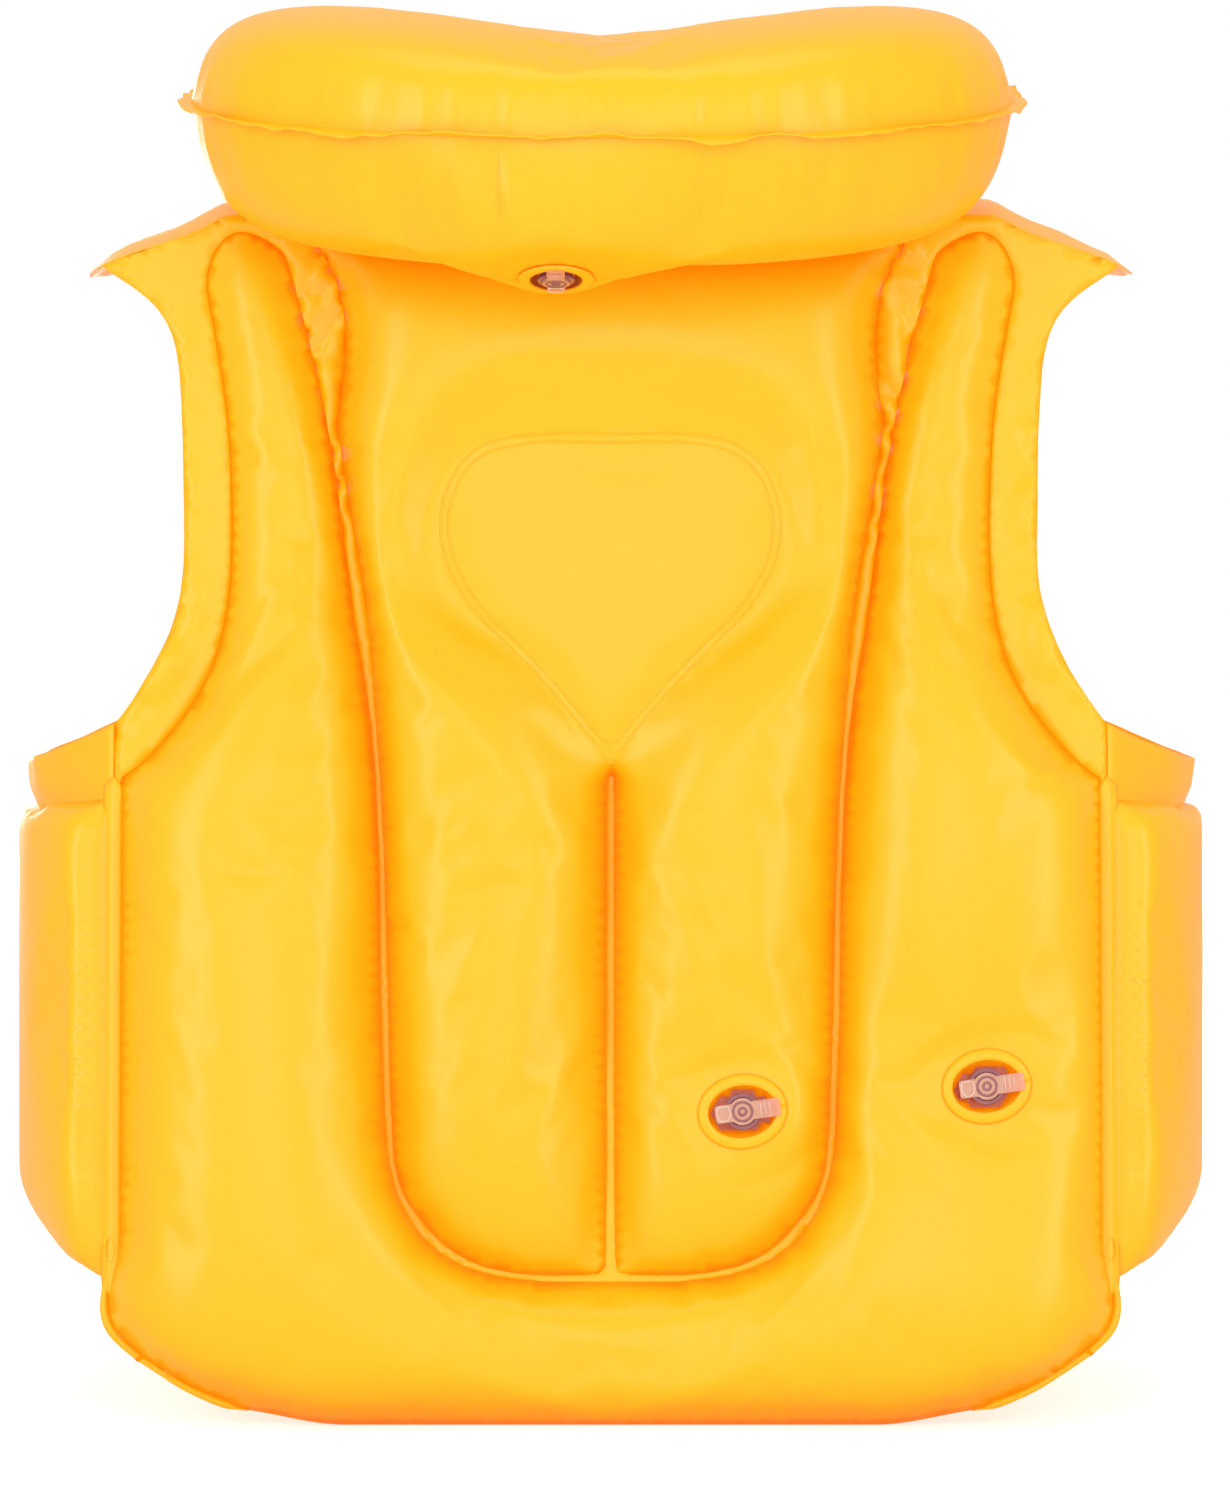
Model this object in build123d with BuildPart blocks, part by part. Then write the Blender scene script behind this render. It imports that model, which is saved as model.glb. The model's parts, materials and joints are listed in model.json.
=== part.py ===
from build123d import *
import os
from math import cos, radians, sin, tan

# A child's inflatable life jacket of welded PVC sheet, standing open on its hem.
#
# +Z is up. The wearer faces +Y, so the back panel faces -Y and the wearer's left side is at -X.
# It is drawn about the middle of the body opening, on the floor, and every piece is then saved
# moved by ORIGIN_SHIFT, which puts the origin under the middle of the whole jacket.
# Lengths are in millimetres.
#
# Two sheets are welded together. Where they stay apart they form the air chambers, and where
# they are welded they form the webs: channels between chambers, armhole flanges and the hem.
# Each panel is drawn flat on its own leaning plane, and every outline below is its right half.

# ---------------------------------------------------------------- driving dimensions
ORIGIN_SHIFT = (0.0, 27.1, 0.0)  # half the depth by which the collar overhangs the back
HALF_DEPTH = 95.0  # from the origin to each panel's middle plane, at the floor
LEAN = 6.6  # degrees that the back and front panels lean towards each other
CHAMBER_HALF = 18.0  # half the thickness of an inflated panel
SHEET = 0.6  # two welded layers of PVC
FOLD_X = 175.5  # half the distance between the vertical fold welds
FOLD_GAP = 0.5  # how far a web stops short of the fold's axis
CHAMBER_X = 173.0  # where the chambers stop beside a fold weld
NECK_Z = 424.0  # height of the back neckline, up the panel
WELD = 5.0  # width of the straight weld channels
WEB_GAP = 1.0  # between a panel's web and the shoulder web that meets it

# Outlines of the right half, as (x, height) along the panel.
HEM = [(0, -7), (90, -6.5), (139, 7), (163, 30), (CHAMBER_X, 56)]
HEM_EDGE = [(0, -9.5), (91, -9), (141, 5), (165.5, 29), (FOLD_X - FOLD_GAP, 54)]
ARMHOLE_WELD = [(CHAMBER_X, 232), (160, 245), (146, 267), (137.5, 300), (137.5, 345), (144, 388)]
ARMHOLE_EDGE = [(FOLD_X - FOLD_GAP, 252), (164, 271), (155, 300), (154, 330), (156.5, 378), (172, 406)]
SHOULDER_END = [(144, 388), (146, 403), (135, 418), (121, 413), (113, 395)]
SHOULDER_EDGE = [(172, 406), (139, 423.5), (112, NECK_Z)]
TUBE_EDGE = [(113, 395), (101.5, 352), (94.5, 306), (86.5, 239), (84, 168), (82, 105)]
TUBE_FOOT = [(82, 105), (75, 76), (55, 56.5), (30, 50.5), (0, 50)]
SHIELD_FOOT = [(0, 55), (32, 55.5), (54, 62), (70.5, 79), (77, 105)]
SHIELD_EDGE = [(77, 105), (79, 168), (82, 239), (90, 306), (98.5, 355)]
SHIELD_NECK = [(98.5, 355), (95.5, 382), (99, 400), (107, 414)]
SHIELD_TOP = 416.0
PICK = [(0, 351.5), (28, 351.5), (53, 340), (61, 321), (52, 297), (32, 275), (13, 250), (0, 224)]
FRONT_EDGE_X = 10.0  # half the gap between the two front panels
FRONT_HEM = 4.5  # width of the welded border along the front opening
FRONT_NECK = [(FRONT_EDGE_X + FRONT_HEM, 322), (48, 333), (84, 358), (113, 395)]
FRONT_NECK_EDGE = [(FRONT_EDGE_X, 327), (45, 338), (80, 363), (103, 400), (112, NECK_Z)]
FRONT_CHANNEL_X, FRONT_CHANNEL_Z = 92.0, (52.0, 262.0)  # weld that divides a front chamber

# Side chambers: (height, outermost x, innermost x) of each lens section.
SIDE_SECTIONS = [(47, 184, 179), (60, 194, 179), (84, 208, 180), (150, 207.5, 180), (200, 211, 181), (218, 204, 188)]
SIDE_TIP_X = 178.0  # where a side chamber closes beside the fold weld
UNDERARM_X = 203.0  # outermost x of the underarm flange
UNDERARM_Z = (220.0, 251.0, 236.0)  # its foot, its ends and its middle
SHOULDER_RISE = 7.0  # how far a shoulder web arches above the panels it joins

# Collar pillow, in its own plane: right half of the outline as (x, depth).
COLLAR_CENTRE = (-3.0, -113.0, 466.0)
COLLAR_TILT = 10.0  # degrees; its outer edge droops
COLLAR_OUTER = [(0, -55), (62, -49), (112, -24), (143, 18)]
COLLAR_LOBE = [(143, 18), (146, 62), (124, 104), (92, 104), (74, 80)]
COLLAR_NOTCH = [(74, 80), (45, 56), (0, 50)]
# Sections of the pillow: distance above its seam, and size as a share of the seam's outline.
COLLAR_LAYERS = [(-59, 0.30), (-49, 0.62), (-29, 0.89), (0, 1), (16.5, 0.89), (28, 0.62), (33, 0.30)]
COLLAR_WEB = (42.0, 5.0)  # half length and height of the strip that joins pillow and neckline

# Valves: an oval recess, a push-in stem, a tethered cap and a non-return flap.
VALVE_FLANGE = (15.5, 12.8)
VALVE_CUP = (12.2, 9.2)
VALVE_WALL = 0.8
CUP_DEPTH = 9.0
GUIDE_DEPTH = 14.0
STEM_R, STEM_BORE_R, STEM_FOOT = 4.5, 3.3, -22.0
STEM_FIT = 0.05  # radial clearance of the stem in its guide
RIM_R, RIM_TOP, RIM_FOOT = 6.0, 0.6, -1.0
LUG_X, LUG_HALF = -9.7, 3.2
CAP_Z, CAP_THICK, CAP_R = 0.7, 1.4, 4.8
CAP_HINGE_X, CAP_TIP_X = -9.8, 13.5
PLUG_R, PLUG_TIP_R, PLUG_LENGTH = 3.2, 2.7, 3.0
FLAP_R, FLAP_THICK, FLAP_GAP = 4.1, 0.5, 0.1
POCKET_R, POCKET_DEPTH = 7.5, 31.0
SHIELD_VALVE, OUTER_VALVE = (47.0, 112.0), (134.0, 121.0)
VALVE_TURN = 8.0  # degrees by which a panel valve's cap rises towards its tab
COLLAR_VALVE_X = -19.0
COLLAR_VALVE_DROP = 74.0  # degrees below level that the collar valve points, towards the back
COLLAR_VALVE_REACH = 59.5  # from the collar's centre to the valve's flat

# Front closure: webbing with push-in clips.
STRAP_HEIGHTS = {"upper": 222.0, "lower": 112.0}
WEBBING_HALF, WEBBING_THICK = 12.5, 1.6
PATCH = (46.0, 34.0, 0.8)
PATCH_X = 92.0
BUCKLE_HALF, BUCKLE_THICK = 16.0, 8.0
SOCKET_X = (4.0, 38.0)  # mouth and far end, towards the wearer's left
CLIP_X = (34.0, 50.0)  # shoulder and far end of the clip's body, towards the wearer's right
PRONG_LENGTH, PRONG_WIDTH, PRONG_THICK = 24.0, 4.5, 4.4
CAVITY_HALF, CAVITY_THICK = 12.6, 5.4
TAIL_X = 152.0  # free end of the adjustable strap
KEEPER_X, KEEPER_LENGTH, KEEPER_WALL = 92.0, 16.0, 2.2
SLIDE_GAP = 0.35  # room round anything that slides

# ---------------------------------------------------------------- planes
lean = radians(LEAN)
back_plane = Plane(origin=(0, -HALF_DEPTH, 0), x_dir=(1, 0, 0), z_dir=(0, -cos(lean), sin(lean)))
# On the front plane +x is towards the wearer's left, so left pieces are drawn there and mirrored.
front_plane = Plane(origin=(0, HALF_DEPTH, 0), x_dir=(-1, 0, 0), z_dir=(0, cos(lean), sin(lean)))
tilt = radians(COLLAR_TILT)
collar_plane = Plane(origin=COLLAR_CENTRE, x_dir=(1, 0, 0), z_dir=(0, -sin(tilt), cos(tilt)))


def panel_half_depth(z):
    """Distance from the XZ plane to a panel's middle plane at height z."""
    return HALF_DEPTH - z * tan(lean)


def edge_of_panel(height):
    """Distance from the XZ plane and true height of a point at that height up a panel."""
    return HALF_DEPTH - height * sin(lean), height * cos(lean)


def save(part, label):
    """Labels a finished piece, moves it to the origin and writes it as its own STEP file."""
    placed = part.moved(Location(ORIGIN_SHIFT))
    placed.label = label
    export_step(placed, f"parts/{label}.step")


def save_pair(left, label):
    """Writes a left piece and its mirror image on the wearer's right."""
    save(left, f"left_{label}")
    save(mirror(left, about=Plane.YZ, mode=Mode.PRIVATE), f"right_{label}")


def inflate(outline):
    """Adds a chamber that stands out to both sides of its outline, cut level at the floor."""
    extrude(outline, amount=CHAMBER_HALF, both=True)
    split(bisect_by=Plane.XY, keep=Keep.TOP)


def sheet(outline):
    """Adds the welded double sheet over an outline, cut level at the floor."""
    extrude(outline, amount=SHEET / 2, both=True)
    split(bisect_by=Plane.XY, keep=Keep.TOP)


os.makedirs("parts", exist_ok=True)

# ---------------------------------------------------------------- back panel outlines
with BuildSketch(back_plane) as tube_outline:
    with BuildLine():
        Spline(*HEM, tangents=[(1, 0), (0.1, 1)])
        Line(HEM[-1], ARMHOLE_WELD[0])
        Spline(*ARMHOLE_WELD, tangents=[(-1, 0.5), (0.2, 1)])
        Spline(*SHOULDER_END, tangents=[(0.2, 1), (-0.3, -1)])
        Spline(*TUBE_EDGE, tangents=[(-0.3, -1), (-0.05, -1)])
        Spline(*TUBE_FOOT, tangents=[(-0.05, -1), (-1, 0)])
        mirror(about=Plane.YZ)
    make_face()

with BuildSketch(back_plane) as pick_outline:
    with BuildLine():
        Line(PICK[0], PICK[1])
        Spline(*PICK[1:], tangents=[(1, 0), (-0.35, -1)])
        mirror(about=Plane.YZ)
    make_face()

with BuildSketch(back_plane) as shield_outline:
    with BuildLine():
        Spline(*SHIELD_FOOT, tangents=[(1, 0), (0.05, 1)])
        Spline(*SHIELD_EDGE, tangents=[(0.05, 1), (0.15, 1)])
        Spline(*SHIELD_NECK, tangents=[(-0.1, 1), (0.8, 1)])
        Line(SHIELD_NECK[-1], (SHIELD_NECK[-1][0] - 4, SHIELD_TOP))
        Line((SHIELD_NECK[-1][0] - 4, SHIELD_TOP), (0, SHIELD_TOP))
        mirror(about=Plane.YZ)
    make_face()
    add(pick_outline.sketch_local, mode=Mode.SUBTRACT)
    channel_foot, channel_top = SHIELD_FOOT[0][1] - 1, PICK[-1][1] + 8
    with Locations((0, (channel_foot + channel_top) / 2)):
        Rectangle(WELD, channel_top - channel_foot, mode=Mode.SUBTRACT)

with BuildSketch(back_plane) as back_edge:
    with BuildLine():
        Spline(*HEM_EDGE, tangents=[(1, 0), (0.1, 1)])
        Line(HEM_EDGE[-1], ARMHOLE_EDGE[0])
        Spline(*ARMHOLE_EDGE, tangents=[(-0.8, 1), (1, 0.8)])
        Polyline(*SHOULDER_EDGE)
        Line(SHOULDER_EDGE[-1], (0, NECK_Z))
        mirror(about=Plane.YZ)
    make_face()

with BuildSketch(back_plane) as back_web_outline:
    add(back_edge.sketch_local)
    add(tube_outline.sketch_local, mode=Mode.SUBTRACT)
    add(shield_outline.sketch_local, mode=Mode.SUBTRACT)

# ---------------------------------------------------------------- valves
def valve_pocket(plane):
    """Cuts the recess and the clear space behind it that a valve needs in a chamber."""
    with BuildSketch(plane) as recess:
        Ellipse(VALVE_CUP[0] + VALVE_WALL, VALVE_CUP[1] + VALVE_WALL)
    extrude(recess.sketch, amount=-CUP_DEPTH - VALVE_WALL, mode=Mode.SUBTRACT)
    with BuildSketch(plane) as bore:
        Circle(POCKET_R)
    extrude(bore.sketch, amount=-POCKET_DEPTH, mode=Mode.SUBTRACT)


def make_valve(plane, label):
    """Base, stem, cap and flap of one valve, on a plane whose z points out of the chamber."""
    with BuildPart() as base:
        with BuildSketch(plane):
            Ellipse(*VALVE_FLANGE)
            Ellipse(*VALVE_CUP, mode=Mode.SUBTRACT)
        extrude(amount=RIM_TOP)
        with BuildSketch(plane):
            Ellipse(VALVE_CUP[0] + VALVE_WALL, VALVE_CUP[1] + VALVE_WALL)
            Ellipse(*VALVE_CUP, mode=Mode.SUBTRACT)
        extrude(amount=-CUP_DEPTH - VALVE_WALL)
        with BuildSketch(plane.offset(-CUP_DEPTH - VALVE_WALL)):
            Ellipse(*VALVE_CUP)
        extrude(amount=VALVE_WALL)
        with BuildSketch(plane.offset(-GUIDE_DEPTH)):
            Circle(STEM_R + STEM_FIT + VALVE_WALL)
        extrude(amount=GUIDE_DEPTH - CUP_DEPTH)
        with BuildSketch(plane.offset(-GUIDE_DEPTH)):
            Circle(STEM_R + STEM_FIT)
        extrude(amount=GUIDE_DEPTH, mode=Mode.SUBTRACT)
    save(base.part, f"{label}_valve_base")

    with BuildPart() as stem:
        with BuildSketch(plane.offset(STEM_FOOT)):
            Circle(STEM_R)
        extrude(amount=RIM_FOOT - STEM_FOOT)
        with BuildSketch(plane.offset(STEM_FOOT)):
            Circle(STEM_R + VALVE_WALL)
        extrude(amount=VALVE_WALL)
        with BuildSketch(plane.offset(RIM_FOOT)):
            Circle(RIM_R)
            with Locations(((LUG_X - STEM_R) / 2, 0)):
                Rectangle(-LUG_X - STEM_R, 2 * LUG_HALF)
        extrude(amount=RIM_TOP - RIM_FOOT)
        with BuildSketch(plane.offset(STEM_FOOT)):
            Circle(STEM_BORE_R)
        extrude(amount=RIM_TOP - STEM_FOOT, mode=Mode.SUBTRACT)
    save(stem.part, f"{label}_valve_stem")

    with BuildPart() as cap:
        with BuildSketch(plane.offset(CAP_Z)):
            Circle(CAP_R)
            with Locations(((CAP_HINGE_X + CAP_TIP_X) / 2, 0)):
                RectangleRounded(CAP_TIP_X - CAP_HINGE_X, 2 * LUG_HALF, 1.2)
        extrude(amount=CAP_THICK)
        with BuildSketch(plane.offset(CAP_Z + CAP_THICK)):
            with GridLocations(1.8, 0, 3, 1):
                with Locations((9.4, 0)):
                    Rectangle(0.7, 2 * LUG_HALF - 1)
        extrude(amount=0.4)
        with BuildSketch(plane.offset(CAP_Z)):
            Circle(PLUG_R)
        with BuildSketch(plane.offset(CAP_Z - PLUG_LENGTH)):
            Circle(PLUG_TIP_R)
        loft()
    save(cap.part, f"{label}_valve_cap")

    with BuildPart() as flap:
        with BuildSketch(plane.offset(STEM_FOOT - FLAP_GAP - FLAP_THICK)):
            Circle(FLAP_R)
        extrude(amount=FLAP_THICK)
    save(flap.part, f"{label}_valve_flap")


surface_plane = back_plane.offset(CHAMBER_HALF)
turn = radians(VALVE_TURN)
cap_dir = back_plane.x_dir * cos(turn) + back_plane.y_dir * sin(turn)
shield_valve_plane = Plane(surface_plane.from_local_coords(SHIELD_VALVE + (0,)), x_dir=cap_dir, z_dir=back_plane.z_dir)
outer_valve_plane = Plane(surface_plane.from_local_coords(OUTER_VALVE + (0,)), x_dir=cap_dir, z_dir=back_plane.z_dir)
drop = radians(COLLAR_VALVE_DROP)
collar_valve_dir = Vector(0, -cos(drop), -sin(drop))
# The collar valve's cap points towards the back, so its plane's x runs down the pillow.
collar_valve_plane = Plane(
    Vector(COLLAR_VALVE_X, COLLAR_CENTRE[1], COLLAR_CENTRE[2]) + collar_valve_dir * COLLAR_VALVE_REACH,
    x_dir=(0, -sin(drop), cos(drop)),
    z_dir=collar_valve_dir,
)
make_valve(shield_valve_plane, "shield")
make_valve(outer_valve_plane, "outer")
make_valve(collar_valve_plane, "collar")

# ---------------------------------------------------------------- back panel
with BuildPart() as back_outer_chamber:
    inflate(tube_outline.sketch)
    valve_pocket(outer_valve_plane)
save(back_outer_chamber.part, "back_outer_chamber")

with BuildPart() as back_shield_chamber:
    inflate(shield_outline.sketch)
    valve_pocket(shield_valve_plane)
save(back_shield_chamber.part, "back_shield_chamber")

with BuildPart() as back_web:
    sheet(back_web_outline.sketch)
save(back_web.part, "back_web")

# ---------------------------------------------------------------- front panels
with BuildSketch(front_plane) as front_outline:
    with BuildLine():
        hem_start = (FRONT_EDGE_X + FRONT_HEM, HEM[0][1])
        Spline(hem_start, *HEM[1:], tangents=[(1, 0), (0.1, 1)])
        Line(HEM[-1], ARMHOLE_WELD[0])
        Spline(*ARMHOLE_WELD, tangents=[(-1, 0.5), (0.2, 1)])
        Spline(*SHOULDER_END, tangents=[(0.2, 1), (-0.3, -1)])
        Spline(*reversed(FRONT_NECK), tangents=[(-0.3, -1), (-1, -0.1)])
        Line(FRONT_NECK[0], hem_start)
    make_face()

with BuildSketch(front_plane) as front_web_outline:
    with BuildLine():
        edge_start = (FRONT_EDGE_X, HEM_EDGE[0][1])
        Spline(edge_start, *HEM_EDGE[1:], tangents=[(1, 0), (0.1, 1)])
        Line(HEM_EDGE[-1], ARMHOLE_EDGE[0])
        Spline(*ARMHOLE_EDGE, tangents=[(-0.8, 1), (1, 0.8)])
        Polyline(*SHOULDER_EDGE)
        Spline(*reversed(FRONT_NECK_EDGE), tangents=[(-0.1, -1), (-1, -0.1)])
        Line(FRONT_NECK_EDGE[0], edge_start)
    make_face()
    add(front_outline.sketch_local, mode=Mode.SUBTRACT)

with BuildPart() as front_chamber:
    inflate(front_outline.sketch)
    # The sheets meet along a vertical weld, which leaves a groove in both faces.
    for side in (1, -1):
        with BuildSketch(front_plane.offset(side * SHEET / 2)):
            with Locations((FRONT_CHANNEL_X, sum(FRONT_CHANNEL_Z) / 2)):
                SlotOverall(FRONT_CHANNEL_Z[1] - FRONT_CHANNEL_Z[0], WELD, rotation=90)
        extrude(amount=side * CHAMBER_HALF, mode=Mode.SUBTRACT)
save_pair(front_chamber.part, "front_chamber")

with BuildPart() as front_web:
    sheet(front_web_outline.sketch)
save_pair(front_web.part, "front_web")

# ---------------------------------------------------------------- sides and shoulders
with BuildPart() as side_chamber:
    for height, outer_x, inner_x in SIDE_SECTIONS:
        tip = (-SIDE_TIP_X, panel_half_depth(height) - 1.5)
        other_tip = (tip[0], -tip[1])
        with BuildSketch(Plane.XY.offset(height)):
            with BuildLine():
                ThreePointArc(tip, (-outer_x, 0), other_tip)
                ThreePointArc(other_tip, (-inner_x, 0), tip)
            make_face()
    loft()
save_pair(side_chamber.part, "side_chamber")

with BuildPart() as underarm_web:
    foot_z, end_z, middle_z = UNDERARM_Z
    half_span = panel_half_depth(end_z) - 1
    with BuildSketch(Plane.XY.offset(foot_z)):
        with BuildLine() as underarm_line:
            ThreePointArc((1 - FOLD_X, -half_span), (-UNDERARM_X, 0), (1 - FOLD_X, half_span))
        trace(underarm_line.line, line_width=SHEET)
    extrude(amount=end_z - foot_z)
    with BuildSketch(Plane.YZ.offset(-UNDERARM_X - 5)):
        with BuildLine():
            ThreePointArc((-half_span, end_z + 1), (0, middle_z), (half_span, end_z + 1))
            Line((half_span, end_z + 1), (-half_span, end_z + 1))
        make_face()
    extrude(amount=UNDERARM_X, mode=Mode.SUBTRACT)
save_pair(underarm_web.part, "underarm_web")

with BuildPart() as shoulder_web:
    for x, height in SHOULDER_EDGE:
        reach, start_z = edge_of_panel(height)
        start_z += WEB_GAP
        with BuildSketch(Plane.YZ.offset(-x)):
            with BuildLine() as arch:
                ThreePointArc((-reach, start_z), (0, start_z + SHOULDER_RISE), (reach, start_z))
            trace(arch.line, line_width=SHEET)
    loft(ruled=True)
save_pair(shoulder_web.part, "shoulder_web")

# ---------------------------------------------------------------- collar
with BuildSketch() as collar_outline:
    with BuildLine():
        Spline(*COLLAR_OUTER, tangents=[(1, 0), (0.3, 1)])
        Spline(*COLLAR_LOBE, tangents=[(0.3, 1), (-0.5, -1)])
        Spline(*COLLAR_NOTCH, tangents=[(-0.5, -1), (-1, 0)])
        mirror(about=Plane.YZ)
    make_face()

with BuildPart() as collar_pillow:
    for level, share in COLLAR_LAYERS:
        with BuildSketch(collar_plane.offset(level)):
            add(scale(collar_outline.sketch, by=share, mode=Mode.PRIVATE))
    loft()
    split(bisect_by=collar_valve_plane, keep=Keep.BOTTOM)
    valve_pocket(collar_valve_plane)
save(collar_pillow.part, "collar_pillow")

with BuildPart() as collar_web:
    half_length, height = COLLAR_WEB
    neck_depth, neck_height = edge_of_panel(NECK_Z)
    with Locations((0, -neck_depth, neck_height + WEB_GAP)):
        Box(2 * half_length, SHEET, height, align=(Align.CENTER, Align.CENTER, Align.MIN))
save(collar_web.part, "collar_web")

# ---------------------------------------------------------------- front closure
def front_level(z):
    """Plane on the front chambers' surface at a strap's height; +x to the wearer's left."""
    return Plane(front_plane.offset(CHAMBER_HALF).from_local_coords((0, z, 0)), x_dir=(-1, 0, 0), z_dir=front_plane.z_dir)


def make_closure(z, label):
    """Patches, webbing, socket, clip and keeper of one strap across the front opening."""
    surface = front_level(z)
    patch_length, patch_width, patch_thick = PATCH
    webbing_foot = patch_thick + KEEPER_WALL + SLIDE_GAP
    webbing = surface.offset(webbing_foot)
    buckle = surface.offset(webbing_foot + WEBBING_THICK / 2 - BUCKLE_THICK / 2)

    for side, x in (("left", PATCH_X), ("right", -PATCH_X)):
        with BuildPart() as patch:
            with BuildSketch(surface):
                with Locations((x, 0)):
                    RectangleRounded(patch_length, patch_width, 6)
            extrude(amount=patch_thick)
        save(patch.part, f"{label}_{side}_patch")

    # The left strap is sewn to its patch on a stitched pad and ends at the socket's bar.
    with BuildPart() as left_strap:
        with BuildSketch(webbing):
            with Locations(((SOCKET_X[1] + PATCH_X + 14) / 2, 0)):
                Rectangle(PATCH_X + 14 - SOCKET_X[1], 2 * WEBBING_HALF)
        extrude(amount=WEBBING_THICK)
        with BuildSketch(surface.offset(patch_thick)):
            with Locations((PATCH_X, 0)):
                Rectangle(28, 2 * WEBBING_HALF)
        extrude(amount=webbing_foot - patch_thick)
    save(left_strap.part, f"{label}_left_strap")

    with BuildPart() as socket:
        mouth, far_end = SOCKET_X
        middle = (mouth + far_end) / 2
        with BuildSketch(buckle):
            with Locations((middle, 0)):
                RectangleRounded(far_end - mouth, 2 * BUCKLE_HALF, 4)
        extrude(amount=BUCKLE_THICK)
        cavity_depth = PRONG_LENGTH + 2 * SLIDE_GAP
        with BuildSketch(buckle.offset((BUCKLE_THICK - CAVITY_THICK) / 2)):
            with Locations((mouth + cavity_depth / 2 - 1, 0)):
                Rectangle(cavity_depth + 2, 2 * CAVITY_HALF)
        extrude(amount=CAVITY_THICK, mode=Mode.SUBTRACT)
        with BuildSketch(buckle.offset((BUCKLE_THICK - CAVITY_THICK) / 2)):
            with Locations((mouth + PRONG_LENGTH - 8, 0)):
                Rectangle(11, 2 * BUCKLE_HALF + 2)
        extrude(amount=CAVITY_THICK, mode=Mode.SUBTRACT)
    save(socket.part, f"{label}_socket")

    with BuildPart() as clip:
        shoulder, far_end = -CLIP_X[0], -CLIP_X[1]
        with BuildSketch(buckle):
            with Locations(((shoulder + far_end) / 2, 0)):
                RectangleRounded(shoulder - far_end, 2 * BUCKLE_HALF, 4)
        extrude(amount=BUCKLE_THICK)
        prong_y = CAVITY_HALF - SLIDE_GAP - PRONG_WIDTH / 2
        with BuildSketch(buckle.offset((BUCKLE_THICK - PRONG_THICK) / 2)):
            with Locations((shoulder + PRONG_LENGTH / 2 - 1, prong_y), (shoulder + PRONG_LENGTH / 2 - 1, -prong_y)):
                RectangleRounded(PRONG_LENGTH + 2, PRONG_WIDTH, 2)
            with Locations((shoulder + PRONG_LENGTH / 2 - 4, 0)):
                RectangleRounded(PRONG_LENGTH - 4, 3.6, 1.5)
        extrude(amount=PRONG_THICK)
        with BuildSketch(webbing):
            with Locations(((shoulder + far_end) / 2 - 3, 0)):
                Rectangle(12, 2 * WEBBING_HALF + 1)
        extrude(amount=WEBBING_THICK, mode=Mode.SUBTRACT)
    save(clip.part, f"{label}_clip")

    with BuildPart() as right_strap:
        with BuildSketch(webbing):
            with Locations((-(CLIP_X[1] + TAIL_X) / 2, 0)):
                Rectangle(TAIL_X - CLIP_X[1], 2 * WEBBING_HALF)
        extrude(amount=WEBBING_THICK)
    save(right_strap.part, f"{label}_right_strap")

    with BuildPart() as keeper:
        opening = WEBBING_THICK + 2 * SLIDE_GAP
        with BuildSketch(surface.offset(patch_thick)):
            with Locations((-KEEPER_X, 0)):
                RectangleRounded(KEEPER_LENGTH, 2 * (WEBBING_HALF + SLIDE_GAP + KEEPER_WALL), 2)
        extrude(amount=opening + 2 * KEEPER_WALL)
        with BuildSketch(surface.offset(patch_thick + KEEPER_WALL)):
            with Locations((-KEEPER_X, 0)):
                Rectangle(KEEPER_LENGTH + 2, 2 * (WEBBING_HALF + SLIDE_GAP))
        extrude(amount=opening, mode=Mode.SUBTRACT)
        with BuildSketch(surface.offset(patch_thick + KEEPER_WALL + opening)):
            with GridLocations(6.4, 0, 2, 1):
                with Locations((-KEEPER_X, 0)):
                    Rectangle(3, 2 * WEBBING_HALF)
        extrude(amount=KEEPER_WALL, mode=Mode.SUBTRACT)
    save(keeper.part, f"{label}_keeper")


for strap, height in STRAP_HEIGHTS.items():
    make_closure(height, strap)
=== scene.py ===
import json
import math

import bmesh
import bpy
import numpy as np
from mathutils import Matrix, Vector, noise
from mathutils.geometry import delaunay_2d_cdt

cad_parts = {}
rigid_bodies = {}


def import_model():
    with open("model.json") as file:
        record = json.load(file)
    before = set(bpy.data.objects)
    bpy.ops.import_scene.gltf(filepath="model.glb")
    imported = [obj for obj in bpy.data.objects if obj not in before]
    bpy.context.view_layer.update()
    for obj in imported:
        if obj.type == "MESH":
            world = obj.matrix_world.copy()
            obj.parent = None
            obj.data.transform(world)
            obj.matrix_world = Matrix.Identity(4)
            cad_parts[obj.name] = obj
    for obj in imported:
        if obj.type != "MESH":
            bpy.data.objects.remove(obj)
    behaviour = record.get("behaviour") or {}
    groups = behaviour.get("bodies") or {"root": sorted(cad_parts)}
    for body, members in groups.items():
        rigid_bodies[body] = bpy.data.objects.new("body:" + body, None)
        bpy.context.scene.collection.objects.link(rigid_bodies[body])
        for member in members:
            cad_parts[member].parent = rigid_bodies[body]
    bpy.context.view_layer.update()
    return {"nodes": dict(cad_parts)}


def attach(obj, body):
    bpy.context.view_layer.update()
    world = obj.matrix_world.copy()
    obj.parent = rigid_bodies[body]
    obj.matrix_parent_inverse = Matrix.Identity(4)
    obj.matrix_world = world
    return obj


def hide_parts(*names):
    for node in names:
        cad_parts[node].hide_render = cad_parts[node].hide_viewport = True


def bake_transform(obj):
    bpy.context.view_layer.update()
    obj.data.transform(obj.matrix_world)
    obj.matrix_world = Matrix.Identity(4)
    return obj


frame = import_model()
NODES = frame["nodes"]

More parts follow.
